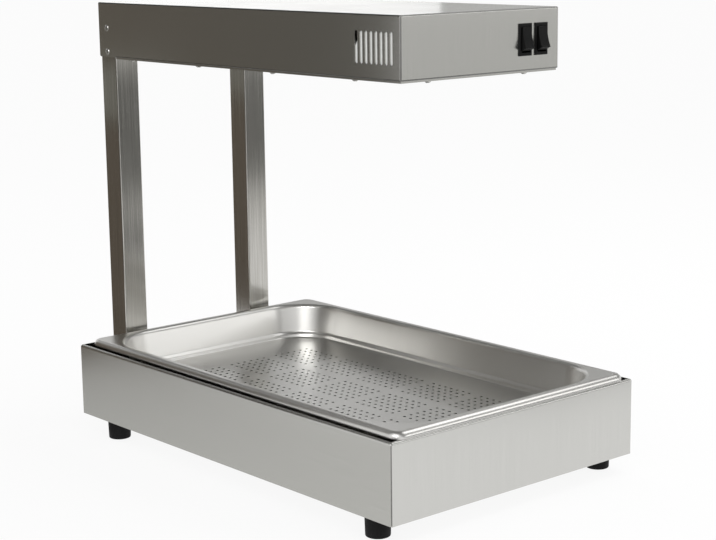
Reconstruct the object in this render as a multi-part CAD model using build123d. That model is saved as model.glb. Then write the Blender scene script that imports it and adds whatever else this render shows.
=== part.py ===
from build123d import *
import math
import os

os.makedirs("parts", exist_ok=True)

# A heat lamp gantry: a low steel base holds a perforated gastronorm pan, and two square
# posts behind it carry a lamp hood over the pan. All sizes are in millimetres.
# The origin is on the table under the middle of the whole outline. +X is to the right
# seen from the front, +Y points to the posts, +Z points up.

# Gastronorm pan
pan_length = 530.0
pan_width = 325.0
pan_sheet = 0.8
pan_depth = 40.0
pan_rim_height = 7.0
pan_rim_corner = 12.0
pan_rim_bend = 6.0
pan_flange = 12.5
pan_mouth_corner = 60.0
pan_mouth_bend = 5.0
pan_wall_draft = 11.0
pan_shoulder_depth = 33.0
pan_shoulder_step = 3.0
pan_shoulder_bend = 2.5
pan_lower_draft = 11.0
pan_floor_bend = 2.5
pan_set_forward = 4.0

# Drain holes in the pan floor, in blocks with a plain strip between them
hole_radius = 1.7
hole_pitch = 9.43
block_columns = 6
block_rows = 7
blocks_across = 3
blocks_along = 5
hole_edge_margin = 1.0

# Base box
base_side_margin = 8.5
base_end_margin = 5.0
base_height = 82.0
base_sheet = 1.2
base_bend = 2.5
base_corner = 1.5
base_seam = 0.5
base_lip = 3.0
pan_seat_clearance = 5.0
pan_seat_width = 280.0
base_return = 30.0
bottom_plate_sheet = 1.0
bottom_plate_clearance = 0.5

# Rubber feet and their screws
foot_height = 20.0
foot_top_radius = 13.0
foot_bottom_radius = 12.4
foot_edge = 1.5
foot_inset_x = 13.5
foot_inset_front = 35.0
foot_inset_rear = 56.0
foot_recess_radius = 5.2
foot_recess_depth = 9.0
foot_screw_radius = 2.5
foot_screw_head_radius = 4.5
foot_screw_head_height = 3.0
foot_nut_width = 8.0
foot_nut_height = 4.0

# Posts
post_size = 30.0
post_wall = 1.2
post_edge = 1.5
post_lift = 2.0
post_top_gap = 5.0
post_plug_flange = 2.0
post_plug_depth = 12.0
post_plug_clearance = 0.2
post_bolt_radius = 3.0
post_bolt_head_width = 10.0
post_bolt_head_height = 4.0
post_bolt_edge = 20.0
post_bolt_reach = 9.0
post_nut_width = 10.0
post_nut_height = 5.0

# Hood cover
hood_width = 216.0
hood_overhang = 52.0
hood_height = 62.0
hood_sheet = 1.0
hood_bend = 1.5
hood_rear_gap = 1.0
hood_side_gap = 0.2
hood_rear_corner = 4.0
hood_lip = 14.0
serving_height = 328.0

# Vent slots in both sides of the switch compartment
vent_count = 8
vent_pitch = 7.2
vent_width = 3.6
vent_height = 31.8
vent_rise = 14.2
vent_setback = 13.2

# White insulating boards behind the vent slots, each with its upper rear corner cut off
vent_board_sheet = 1.0
vent_board_gap = 0.2
vent_board_margin = 5.0
vent_board_cut_length = 15.0
vent_board_cut_height = 29.0

# Hood floor frame, seen as a thin strip under the cover
frame_sheet = 2.0
frame_inset = 1.5
frame_post_gap = 0.5

# Dome screws that hold the floor frame, and the screws that hold the cover to the posts
dome_radius = 3.8
dome_height = 2.4
dome_screw_radius = 2.0
dome_screw_length = 8.0
dome_inset = 7.0
dome_setback = 74.7
dome_side_pitch = 130.0
dome_side_count = 4
dome_front_pitch = 132.0
side_screw_head_radius = 3.6
side_screw_head_height = 2.0
side_screw_radius = 2.0
side_screw_length = 6.0
side_screw_rise = 6.0
side_screw_pitch = 27.0
screw_clearance = 0.1

# Reflector, its end plates and the lamps
reflector_radius = 41.0
reflector_sheet = 0.8
reflector_overlap = 6.0
reflector_flange = 11.0
reflector_rear_gap = 22.0
bulkhead_setback = 86.0
bulkhead_sheet = 1.0
bulkhead_gap = 0.5
end_plate_rise = 4.0
lamp_rise = 22.0
lamp_radius = 5.0
lamp_wall = 1.0
coil_radius = 1.6
cap_radius = 7.5
cap_length = 26.0
cap_grip = 12.0
cap_clearance = 0.1

# Wire guard under the lamps
guard_wire_radius = 1.5
guard_pitch = 28.0
guard_ledge = 6.0
guard_end_gap = 1.0
guard_rail_offset = 36.0
guard_weld = 0.3

# Rocker switches
switch_pitch = 22.8
switch_offset = 70.6
switch_rise = 31.0
bezel_width = 17.5
bezel_height = 32.3
bezel_thickness = 1.8
bezel_edge = 0.8
switch_body_width = 14.6
switch_body_height = 28.6
switch_body_depth = 24.0
cutout_clearance = 0.3
rocker_well_width = 12.8
rocker_well_height = 26.0
rocker_well_depth = 12.0
rocker_side_gap = 0.2
rocker_tilt = 13.0
pivot_depth = 4.0
rocker_dish = 8.6
rocker_tip_out = 9.9
rocker_tip_rise = 10.6
rocker_heel_out = 3.0
rocker_heel_rise = 12.3
rocker_back = 4.0
rocker_back_rise = 7.0
rocker_edge = 0.5
pivot_pin_radius = 1.5
pivot_running_gap = 0.05
pivot_seat_gap = 0.02
blade_width = 6.3
blade_thickness = 0.8
blade_length = 8.0
blade_pitch = 8.0

# Terminal block on the bulkhead
terminal_width = 48.0
terminal_height = 18.0
terminal_depth = 16.0
terminal_rise = 34.0
terminal_ways = 4
terminal_hole_radius = 2.2
terminal_hole_depth = 9.0

# Insulated leads between lamps, switches and terminal block
lead_radius = 1.5
lead_bend = 5.0
lead_clearance = 0.4
lead_headroom = 9.0
lead_rear_turn = 16.0

# Cord gland in the base's rear wall, and the wire hole from the base into the right post
gland_rise = 50.0
gland_offset = 50.0
gland_bore = 3.75
gland_thread_radius = 6.0
gland_thread_clearance = 0.1
gland_flange_width = 18.0
gland_flange_height = 4.0
gland_nose_radius = 5.6
gland_nose_length = 8.0
gland_cap_width = 16.0
gland_cap_lid = 2.0
gland_cap_edge = 1.5
gland_locknut_width = 18.0
gland_locknut_height = 4.0
gland_thread_tail = 1.0
wire_hole_radius = 5.0

# Places that follow from the sizes above
base_width = pan_width + 2 * base_side_margin
base_length = pan_length + 2 * base_end_margin
whole_length = base_length + post_size + hood_rear_gap + hood_sheet
base_front = -whole_length / 2
base_rear = base_front + base_length
base_middle = (base_front + base_rear) / 2
base_bottom = foot_height
base_top = base_bottom + base_height
pan_middle = base_middle - pan_set_forward
pan_top = base_top + pan_rim_height
pan_floor = pan_top - pan_depth
mouth_width = pan_width - 2 * pan_flange
mouth_length = pan_length - 2 * pan_flange
post_front = base_rear
post_middle = post_front + post_size / 2
post_rear = post_front + post_size
post_bottom = base_bottom + post_lift
hood_bottom = base_top + serving_height
hood_top = hood_bottom + hood_height
hood_front = base_front + hood_overhang
hood_rear = post_rear + hood_rear_gap + hood_sheet
hood_inside = hood_width / 2 - hood_sheet
post_outer = hood_inside - hood_side_gap
post_x = post_outer - post_size / 2
post_inner = post_outer - post_size
frame_bottom = hood_bottom - frame_sheet
bulkhead_front = hood_front + bulkhead_setback
reflector_front = bulkhead_front + bulkhead_sheet
reflector_rear = post_front - reflector_rear_gap
reflector_length = reflector_rear - reflector_front
lamp_z = hood_bottom + lamp_rise
lamp_x = reflector_radius - reflector_overlap / 2
trough_edge = lamp_x + reflector_radius
lamp_end_front = reflector_front + cap_grip - cap_length
lamp_end_rear = reflector_rear - cap_grip + cap_length
opening_half = trough_edge - guard_ledge
blade_tip = hood_front + switch_body_depth + blade_length
pivot_y = hood_front + pivot_depth
switch_z = hood_bottom + switch_rise
gland_z = base_bottom + gland_rise
gland_tail = base_sheet + gland_locknut_height + gland_thread_tail
wire_hole_z = base_bottom + base_height / 2
return_z = hood_top - hood_sheet - lead_headroom
terminal_z = hood_bottom + terminal_rise


def box_between(low, high):
    """A block from its lowest corner to its highest corner."""
    size = [high[i] - low[i] for i in range(3)]
    middle = [(high[i] + low[i]) / 2 for i in range(3)]
    return Pos(*middle) * Box(*size)


def rod(start, direction, radius, length):
    """A round bar from a start point along a direction."""
    plane = Plane(origin=start, z_dir=direction)
    return plane * Cylinder(radius, length, align=(Align.CENTER, Align.CENTER, Align.MIN))


def hexagon_bar(start, direction, across_flats, length):
    """A hexagonal bar, as for nuts and bolt heads."""
    plane = Plane(origin=start, z_dir=direction)
    return extrude(plane * RegularPolygon(across_flats / 2, 6, major_radius=False), length)


def rounded_prism(width, length, corner, low, high, middle_y):
    """An upright block with rounded vertical corners."""
    return extrude(Pos(0, middle_y, low) * RectangleRounded(width, length, corner), high - low)


def drafted_block(width, length, corner, top, depth, draft):
    """A block that narrows downwards from its top outline."""
    outline = Pos(0, pan_middle, top) * RectangleRounded(width, length, corner)
    return extrude(outline, depth, dir=(0, 0, -1), taper=draft)


def save(name, *solids):
    """Write one node: a single piece, or a group of like pieces as separate solids."""
    pieces = [solid for shape in solids for solid in shape.solids()]
    export_step(Compound(pieces) if len(pieces) > 1 else pieces[0], f"parts/{name}.step")


def edges_at_height(shape, height):
    """The edges of a shape that lie at one height."""
    return [e for e in shape.edges() if abs(e.bounding_box().min.Z - height) < 1e-4
            and abs(e.bounding_box().max.Z - height) < 1e-4]


def well_form(growth):
    """The pan's hollow, from mouth to floor, grown evenly by the sheet's thickness."""
    upper_depth = pan_shoulder_depth + growth
    step_top = pan_top - upper_depth
    lower_top = step_top - pan_shoulder_step
    upper = drafted_block(mouth_width + 2 * growth, mouth_length + 2 * growth,
                          pan_mouth_corner + growth, pan_top, upper_depth, pan_wall_draft)
    step_inset = upper_depth * math.tan(math.radians(pan_wall_draft)) - growth
    step = drafted_block(mouth_width - 2 * step_inset, mouth_length - 2 * step_inset,
                         pan_mouth_corner - step_inset, step_top, pan_shoulder_step, 45)
    lower_inset = step_inset + pan_shoulder_step
    floor = pan_floor - growth
    lower = drafted_block(mouth_width - 2 * lower_inset, mouth_length - 2 * lower_inset,
                          pan_mouth_corner - lower_inset, lower_top, lower_top - floor,
                          pan_lower_draft)
    form = upper + step + lower
    form = fillet(edges_at_height(form, floor), pan_floor_bend + growth)
    form = fillet(edges_at_height(form, step_top), pan_shoulder_bend + growth)
    return fillet(edges_at_height(form, lower_top), pan_shoulder_bend + pan_sheet - growth)


def drain_holes():
    """Round holes in blocks, kept to the flat of the floor inside its rounded corners."""
    upper_draw = pan_shoulder_depth * math.tan(math.radians(pan_wall_draft))
    lower_height = pan_depth - pan_shoulder_depth - pan_shoulder_step
    lower_draw = lower_height * math.tan(math.radians(pan_lower_draft))
    bend_reach = pan_floor_bend * math.tan(math.radians(45 - pan_lower_draft / 2))
    inset = upper_draw + pan_shoulder_step + lower_draw + bend_reach
    reach = hole_radius + hole_edge_margin
    half_width = mouth_width / 2 - inset - reach
    half_length = mouth_length / 2 - inset - reach
    corner = max(pan_mouth_corner - inset - reach, 0)

    def places(per_block, blocks):
        steps = [block * (per_block + 1) + i for block in range(blocks) for i in range(per_block)]
        middle = (steps[0] + steps[-1]) / 2
        return [(step - middle) * hole_pitch for step in steps]

    def on_flat(x, y):
        across = abs(x) - (half_width - corner)
        along = abs(y) - (half_length - corner)
        if across > 0 and along > 0:
            return math.hypot(across, along) <= corner
        return abs(x) <= half_width and abs(y) <= half_length

    spots = [(x, y) for x in places(block_columns, blocks_across)
             for y in places(block_rows, blocks_along) if on_flat(x, y)]
    top = pan_floor + pan_sheet
    return [rod((x, pan_middle + y, top), (0, 0, -1), hole_radius, 3 * pan_sheet)
            for x, y in spots]


def gastronorm_pan():
    """The pan: rolled rim, flat flange, stepped wall, rounded floor bend and drain holes."""
    rim = rounded_prism(pan_width, pan_length, pan_rim_corner, base_top, pan_top, pan_middle)
    rim = fillet(edges_at_height(rim, pan_top), pan_rim_bend)
    under = rounded_prism(pan_width - 2 * pan_sheet, pan_length - 2 * pan_sheet,
                          pan_rim_corner - pan_sheet, base_top - 1, pan_top - pan_sheet, pan_middle)
    under = fillet(edges_at_height(under, pan_top - pan_sheet), pan_rim_bend - pan_sheet)
    body = rim - under + well_form(pan_sheet)
    root = [e for e in edges_at_height(body, pan_top - pan_sheet)
            if abs(e.center().X) < mouth_width / 2 + 2 * pan_sheet
            and abs(e.center().Y - pan_middle) < mouth_length / 2 + 2 * pan_sheet]
    body = fillet(root, pan_mouth_bend - pan_sheet)
    body = body - well_form(0)
    mouth = [e for e in edges_at_height(body, pan_top)
             if abs(e.center().X) < mouth_width / 2 + pan_sheet
             and abs(e.center().Y - pan_middle) < mouth_length / 2 + pan_sheet]
    body = fillet(mouth, pan_mouth_bend)
    return body - drain_holes()


def foot_places():
    """The four foot centres, by corner name."""
    reach_x = base_width / 2 - foot_inset_x
    return {f"{end}_{side}": (sx * reach_x, y)
            for end, y in (("front", base_front + foot_inset_front), ("rear", base_rear - foot_inset_rear))
            for side, sx in (("left", -1), ("right", 1))}


def post_bolt_places():
    """Two bolts to each post, one near the base's floor and one near its top."""
    return [(side * post_x, z) for side in (-1, 1)
            for z in (base_bottom + post_bolt_edge, base_top - post_bolt_edge)]


def base_shell():
    """Folded base: four walls with a narrow lip, a ledge for the pan at front and rear, a bottom return."""
    outer = box_between((-base_width / 2, base_front, base_bottom), (base_width / 2, base_rear, base_top))
    outer = fillet(outer.edges().filter_by(Axis.Z), base_corner)
    outer = fillet(edges_at_height(outer, base_top), base_bend)
    inner = box_between((-base_width / 2 + base_sheet, base_front + base_sheet, base_bottom + base_sheet),
                        (base_width / 2 - base_sheet, base_rear - base_sheet, base_top - base_sheet))
    inner = fillet(edges_at_height(inner, base_top - base_sheet), base_bend - base_sheet)
    seat_reach = mouth_length / 2 + pan_sheet + pan_seat_clearance
    mouth = box_between((-base_width / 2 + base_lip, base_front + base_lip, base_top - 2 * base_sheet),
                        (base_width / 2 - base_lip, base_rear - base_lip, base_top + base_sheet))
    for y, edge in ((base_front, base_middle - seat_reach), (base_rear, base_middle + seat_reach)):
        mouth -= box_between((-pan_seat_width / 2, min(y, edge), base_top - 3 * base_sheet),
                             (pan_seat_width / 2, max(y, edge), base_top + 2 * base_sheet))
    below = box_between((-base_width / 2 + base_return, base_front + base_return, base_bottom - base_sheet),
                        (base_width / 2 - base_return, base_rear - base_return, base_bottom + 2 * base_sheet))
    shell = outer - inner - mouth - below
    seam_depth = base_corner + base_sheet / 2
    for sx in (-1, 1):
        for y, sy in ((base_front, -1), (base_rear, 1)):
            seam = Pos(sx * base_width / 2, y, (base_bottom + base_top - base_bend) / 2) \
                * Rot(0, 0, 45 * sx * sy) * Box(2 * seam_depth, base_seam, base_height - base_bend)
            shell -= seam
    for x, y in foot_places().values():
        shell -= rod((x, y, base_bottom - base_sheet), (0, 0, 1),
                     foot_screw_radius + screw_clearance, 3 * base_sheet)
    for x, z in post_bolt_places():
        shell -= rod((x, base_rear + base_sheet, z), (0, -1, 0),
                     post_bolt_radius + screw_clearance, 3 * base_sheet)
    shell -= rod((post_x, base_rear + base_sheet, wire_hole_z), (0, -1, 0), wire_hole_radius, 3 * base_sheet)
    return shell - rod((gland_offset, base_rear + base_sheet, gland_z), (0, -1, 0),
                       gland_thread_radius + gland_thread_clearance, 3 * base_sheet)


def base_bottom_plate():
    """Plain sheet that closes the base from inside, resting on the bottom return."""
    gap = base_sheet + bottom_plate_clearance
    low = base_bottom + base_sheet
    plate = box_between((-base_width / 2 + gap, base_front + gap, low),
                        (base_width / 2 - gap, base_rear - gap, low + bottom_plate_sheet))
    for x, y in foot_places().values():
        plate -= rod((x, y, low - 1), (0, 0, 1), foot_screw_radius + screw_clearance, bottom_plate_sheet + 2)
    return plate


def rubber_foot(x, y):
    """Tapered rubber foot with a recess for its screw head."""
    body = Pos(x, y, foot_height / 2) * Cone(foot_bottom_radius, foot_top_radius, foot_height)
    body = fillet(edges_at_height(body, 0), foot_edge)
    body -= rod((x, y, 0), (0, 0, 1), foot_recess_radius, foot_recess_depth)
    return body - rod((x, y, 0), (0, 0, 1), foot_screw_radius + screw_clearance, foot_height)


def foot_screw(x, y):
    """Pan-head screw from below through foot, return and plate."""
    seat = foot_recess_depth
    stack = base_bottom + base_sheet + bottom_plate_sheet + foot_nut_height
    head = rod((x, y, seat), (0, 0, -1), foot_screw_head_radius, foot_screw_head_height)
    return head + rod((x, y, seat), (0, 0, 1), foot_screw_radius, stack - seat)


def foot_nut(x, y):
    """Hexagon nut on top of the bottom plate."""
    seat = base_bottom + base_sheet + bottom_plate_sheet
    nut = hexagon_bar((x, y, seat), (0, 0, 1), foot_nut_width, foot_nut_height)
    return nut - rod((x, y, seat), (0, 0, 1), foot_screw_radius + screw_clearance, foot_nut_height)


def side_screw_places():
    """Two screws to each post, above the hood's lower edge."""
    return [(side, hood_bottom + side_screw_rise + i * side_screw_pitch)
            for side in (-1, 1) for i in range(2)]


def post(side):
    """Square tube behind the base, with holes for its bolts and the cover's screws.
    The right one also has the wire hole, for it brings the wires up to the hood."""
    x = side * post_x
    top = hood_top - post_top_gap
    outer = Pos(x, post_middle, post_bottom) * RectangleRounded(post_size, post_size, post_edge)
    bore = post_size - 2 * post_wall
    inner = Pos(x, post_middle, post_bottom) * RectangleRounded(bore, bore, post_edge - post_wall)
    tube = extrude(outer - inner, top - post_bottom)
    for bolt_x, z in post_bolt_places():
        if bolt_x * side > 0:
            tube -= rod((x, post_front - 1, z), (0, 1, 0), post_bolt_radius + screw_clearance, post_wall + 2)
    for screw_side, z in side_screw_places():
        if screw_side == side:
            tube -= rod((side * (post_outer + 1), post_middle, z), (-side, 0, 0),
                        side_screw_radius + screw_clearance, post_wall + 2)
    if side > 0:
        tube -= rod((x, post_front - 1, wire_hole_z), (0, 1, 0), wire_hole_radius, post_wall + 2)
    return tube


def post_plug(side):
    """Plastic plug that closes the lower end of a post."""
    spigot = post_size - 2 * post_wall - 2 * post_plug_clearance
    corner = post_edge - post_wall
    place = Pos(side * post_x, post_middle, post_bottom)
    cap = extrude(place * RectangleRounded(post_size, post_size, post_edge), -post_plug_flange)
    return cap + extrude(place * RectangleRounded(spigot, spigot, corner), post_plug_depth)


def post_bolt(x, z):
    """Hexagon bolt from inside the base into the post."""
    face = base_rear - base_sheet
    head = hexagon_bar((x, face, z), (0, -1, 0), post_bolt_head_width, post_bolt_head_height)
    return head + rod((x, face, z), (0, 1, 0), post_bolt_radius, base_sheet + post_wall + post_bolt_reach)


def post_nut(x, z):
    """Weld nut inside the post's front wall."""
    seat = (x, post_front + post_wall, z)
    nut = hexagon_bar(seat, (0, 1, 0), post_nut_width, post_nut_height)
    return nut - rod(seat, (0, 1, 0), post_bolt_radius + screw_clearance, post_nut_height)


def dome_screw_places():
    """Dome screws along both long edges and the front edge of the hood floor."""
    edge_x = hood_inside - dome_inset
    first = hood_front + dome_setback
    sides = [(side * edge_x, first + i * dome_side_pitch)
             for side in (-1, 1) for i in range(dome_side_count)]
    front = [(side * dome_front_pitch / 2, hood_front + hood_sheet + dome_inset) for side in (-1, 1)]
    return sides + front


def switch_places():
    """The two switch centres across the hood's front."""
    return {"left": switch_offset - switch_pitch / 2, "right": switch_offset + switch_pitch / 2}


def vent_slots():
    """Upright slots right through both sides of the switch compartment."""
    low = hood_bottom + vent_rise
    slots = []
    for i in range(vent_count):
        y = hood_front + vent_setback + i * vent_pitch
        place = Plane.YZ * Pos(y, low + vent_height / 2) * Rot(0, 0, 90)
        outline = place * SlotOverall(vent_height, vent_width)
        slots.append(extrude(outline, hood_width, both=True))
    return slots


def vent_board(side):
    """Board against the inside of the cover, behind one row of vent slots."""
    front = hood_front + vent_setback - vent_width / 2 - vent_board_margin
    rear = hood_front + vent_setback + (vent_count - 1) * vent_pitch + vent_width / 2 + vent_board_margin
    low = hood_bottom + vent_rise - vent_board_margin
    high = hood_bottom + vent_rise + vent_height + vent_board_margin
    outline = make_face(Polyline((front, low), (rear, low), (rear, high - vent_board_cut_height),
                                 (rear - vent_board_cut_length, high), (front, high), close=True))
    outside = side * (hood_inside - vent_board_gap)
    return extrude(Pos(outside, 0, 0) * (Plane.YZ * outline), -side * vent_board_sheet)


def lower_bends(rear):
    """What the fold takes off the cover's lower edge, at its sides and its front."""
    half = hood_width / 2
    turn = hood_bottom + hood_bend
    cuts = []
    for side in (-1, 1):
        inside = side * (half - hood_bend)
        outside = side * (half + 1)
        block = box_between((min(inside, outside), hood_front - 1, hood_bottom - 1),
                            (max(inside, outside), rear, turn))
        cuts.append(block - rod((inside, hood_front - 2, turn), (0, 1, 0), hood_bend, rear - hood_front + 4))
    block = box_between((-half - 1, hood_front - 1, hood_bottom - 1), (half + 1, hood_front + hood_bend, turn))
    cuts.append(block - rod((-half - 2, hood_front + hood_bend, turn), (1, 0, 0), hood_bend, hood_width + 4))
    return cuts


def hood_cover():
    """Folded cover: top, front, sides and rear in one sheet, with a return lip at its lower edge."""
    half = hood_width / 2
    outer = box_between((-half, hood_front, hood_bottom), (half, hood_rear, hood_top))
    outer = fillet(outer.edges().filter_by(Axis.Z) + outer.edges().group_by(Axis.Z)[-1], hood_bend)
    inner = box_between((-hood_inside, hood_front + hood_sheet, hood_bottom - 1),
                        (hood_inside, hood_rear - hood_sheet, hood_top - hood_sheet))
    cover = outer - fillet(inner.edges().filter_by(Axis.Z) + inner.edges().group_by(Axis.Z)[-1],
                           hood_bend - hood_sheet)
    lip_rear = post_front - frame_post_gap
    lip = box_between((-hood_inside, hood_front + hood_sheet, hood_bottom),
                      (hood_inside, lip_rear, hood_bottom + hood_sheet))
    lip -= box_between((-hood_inside + hood_lip, hood_front + hood_sheet + hood_lip, hood_bottom - 1),
                       (hood_inside - hood_lip, lip_rear + 1, hood_bottom + hood_sheet + 1))
    cover += lip
    cover -= lower_bends(lip_rear)
    corner = box_between((-hood_width, hood_rear - hood_rear_corner, hood_bottom - hood_sheet),
                         (hood_width, hood_rear + hood_sheet, hood_bottom + hood_rear_corner))
    corner -= rod((-hood_width, hood_rear - hood_rear_corner, hood_bottom + hood_rear_corner), (1, 0, 0),
                  hood_rear_corner, 2 * hood_width)
    cover -= corner
    cover -= vent_slots()
    for x in switch_places().values():
        half_width = switch_body_width / 2 + cutout_clearance
        half_height = switch_body_height / 2 + cutout_clearance
        cover -= box_between((x - half_width, hood_front - 1, switch_z - half_height),
                             (x + half_width, hood_front + hood_sheet + 1, switch_z + half_height))
    for side, z in side_screw_places():
        cover -= rod((side * (half + 1), post_middle, z), (-side, 0, 0),
                     side_screw_radius + screw_clearance, hood_sheet + 2)
    for x, y in dome_screw_places():
        cover -= rod((x, y, hood_bottom - 1), (0, 0, 1), dome_screw_radius + screw_clearance, hood_sheet + 2)
    return cover


def hood_floor_frame():
    """Flat frame under the cover, open below the lamps and notched round the posts."""
    half = hood_width / 2 - frame_inset
    frame = box_between((-half, hood_front + frame_inset, frame_bottom),
                        (half, hood_rear - hood_sheet - hood_rear_corner, hood_bottom))
    frame -= box_between((-opening_half, reflector_front, frame_bottom - 1),
                         (opening_half, reflector_rear, hood_bottom + 1))
    for side in (-1, 1):
        near = side * (post_inner - frame_post_gap)
        far = side * (hood_width / 2 + 1)
        frame -= box_between((min(near, far), post_front - frame_post_gap, frame_bottom - 1),
                             (max(near, far), hood_rear + 1, hood_bottom + 1))
    for x, y in dome_screw_places():
        frame -= rod((x, y, frame_bottom - 1), (0, 0, 1),
                     dome_screw_radius + screw_clearance, frame_sheet + 2)
    return frame


def dome_screw(x, y):
    """Dome-head screw from below into the cover's lip."""
    ball_radius = (dome_radius ** 2 + dome_height ** 2) / (2 * dome_height)
    ball = Pos(x, y, frame_bottom - dome_height + ball_radius) * Sphere(ball_radius)
    slab = box_between((x - dome_radius, y - dome_radius, frame_bottom - dome_height),
                       (x + dome_radius, y + dome_radius, frame_bottom))
    return (ball & slab) + rod((x, y, frame_bottom), (0, 0, 1), dome_screw_radius, dome_screw_length)


def side_screw(side, z):
    """Pan-head screw through the cover's side into a post."""
    face = (side * hood_width / 2, post_middle, z)
    head = rod(face, (side, 0, 0), side_screw_head_radius, side_screw_head_height)
    head = fillet(head.edges().sort_by(Axis.X)[-1 if side > 0 else 0], side_screw_head_height / 2)
    return head + rod(face, (-side, 0, 0), side_screw_radius, side_screw_length)


def reflector():
    """Polished twin trough: two half-round channels side by side over the lamps."""
    outer_radius = reflector_radius + reflector_sheet
    width = 2 * (trough_edge + reflector_flange)
    skins = Pos(0, reflector_sheet / 2) * Rectangle(width, reflector_sheet)
    hollows = Sketch()
    for side in (-1, 1):
        skins += Pos(side * lamp_x, 0) * Circle(outer_radius)
        hollows += Pos(side * lamp_x, 0) * Circle(reflector_radius)
    below = Pos(0, -outer_radius) * Rectangle(2 * width, 2 * outer_radius)
    profile = skins - hollows - below
    plane = Plane(origin=(0, reflector_rear, hood_bottom), x_dir=(1, 0, 0), z_dir=(0, -1, 0))
    return extrude(plane * profile, reflector_length)


def cap_hole(side, y, length):
    """The round hole that a lamp's ceramic end sits in."""
    return rod((side * lamp_x, y, lamp_z), (0, 1, 0), cap_radius + cap_clearance, length)


def front_bulkhead():
    """Bright sheet across the hood, between the lamps and the switch compartment."""
    half = hood_inside - bulkhead_gap
    foot = half - hood_lip
    sheet = box_between((-half, bulkhead_front, hood_bottom + hood_sheet),
                        (half, reflector_front, hood_top - hood_sheet - bulkhead_gap))
    sheet += box_between((-foot, bulkhead_front, hood_bottom),
                         (foot, reflector_front, hood_bottom + hood_sheet))
    for side in (-1, 1):
        sheet -= cap_hole(side, bulkhead_front - 1, bulkhead_sheet + 2)
        sheet -= rod((side * lamp_x, bulkhead_front - 1, return_z), (0, 1, 0),
                     lead_radius + lead_clearance, bulkhead_sheet + 2)
    return sheet


def rear_end_plate():
    """Sheet that closes the rear end of the reflector and holds the lamps there."""
    half = trough_edge + reflector_flange
    top = hood_bottom + reflector_radius + reflector_sheet + end_plate_rise
    sheet = box_between((-half, reflector_rear, hood_bottom), (half, reflector_rear + bulkhead_sheet, top))
    for side in (-1, 1):
        sheet -= cap_hole(side, reflector_rear - 1, bulkhead_sheet + 2)
    return sheet


def lamp_tube(side):
    """Quartz tube between its two ceramic ends."""
    start = (side * lamp_x, reflector_front, lamp_z)
    tube = rod(start, (0, 1, 0), lamp_radius, reflector_length)
    return tube - rod(start, (0, 1, 0), lamp_radius - lamp_wall, reflector_length)


def lamp_coil(side):
    """Heating coil along the middle of a tube, from end to end."""
    start = (side * lamp_x, reflector_front, lamp_z)
    return rod(start, (0, 1, 0), coil_radius, reflector_length)


def lamp_cap(side, front):
    """Ceramic end of a lamp, pushed through the sheet that carries it."""
    face = reflector_front if front else reflector_rear
    outward = -1 if front else 1
    start = (side * lamp_x, face - outward * cap_grip, lamp_z)
    cap = rod(start, (0, outward, 0), cap_radius, cap_length)
    return cap - rod(start, (0, outward, 0), lamp_radius + cap_clearance, cap_grip)


def lamp_guard():
    """Welded wire guard lying on the frame's inner edge, under the lamps."""
    reach = trough_edge - guard_end_gap
    cross_z = hood_bottom + guard_wire_radius
    rail_z = cross_z + 2 * guard_wire_radius - guard_weld
    count = int(reflector_length / guard_pitch)
    middle = (reflector_front + reflector_rear) / 2
    first = middle - (count - 1) * guard_pitch / 2
    guard = Part()
    for i in range(count):
        guard += rod((-reach, first + i * guard_pitch, cross_z), (1, 0, 0), guard_wire_radius, 2 * reach)
    span = (count - 1) * guard_pitch + 4 * guard_wire_radius
    for side in (-1, 1):
        guard += rod((side * guard_rail_offset, middle - span / 2, rail_z), (0, 1, 0),
                     guard_wire_radius, span)
    return guard


def terminal_block():
    """Connector block on the bulkhead, with a row of wire holes facing the switches."""
    front = bulkhead_front - terminal_depth
    block = box_between((-terminal_width / 2, front, terminal_z),
                        (terminal_width / 2, bulkhead_front, terminal_z + terminal_height))
    for way in range(terminal_ways):
        x, y, z = terminal_seat(way)
        block -= rod((x, front, z), (0, 1, 0), terminal_hole_radius, y - front)
    return block


def terminal_seat(way):
    """The bottom of one wire hole in the terminal block."""
    x = (way + 0.5) * terminal_width / terminal_ways - terminal_width / 2
    return x, bulkhead_front - terminal_depth + terminal_hole_depth, terminal_z + terminal_height / 2


def lead(*points):
    """An insulated lead along straight runs joined by round bends."""
    run = Vector(*points[1]) - Vector(*points[0])
    path = FilletPolyline(*points, radius=lead_bend)
    return sweep(Plane(origin=points[0], z_dir=run) * Circle(lead_radius), path)


def lead_lane(share):
    """A place along Y for a lead to cross, between the switches and the lamp ends."""
    return blade_tip + share * (lamp_end_front - blade_tip)


def lamp_lead(side, x, share):
    """Lead from a lamp's front end to the lower blade of its switch."""
    lane = lead_lane(share)
    blade_z = switch_z - blade_pitch
    return lead((side * lamp_x, lamp_end_front, lamp_z), (side * lamp_x, lane, lamp_z),
                (x, lane, blade_z), (x, blade_tip, blade_z))


def supply_lead(way, x, share):
    """Lead from a switch's upper blade to the terminal block."""
    lane = lead_lane(share)
    blade_z = switch_z + blade_pitch
    seat = terminal_seat(way)
    return lead((x, blade_tip, blade_z), (x, lane, blade_z), (seat[0], lane, seat[2]), seat)


def return_lead(side, way, share):
    """Lead from a lamp's rear end over the reflector to the terminal block."""
    x = side * lamp_x
    turn = lamp_end_rear + lead_rear_turn
    lane = lead_lane(share)
    seat = terminal_seat(way)
    return lead((x, lamp_end_rear, lamp_z), (x, turn, lamp_z), (x, turn, return_z),
                (x, lane, return_z), (seat[0], lane, seat[2]), seat)


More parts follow.
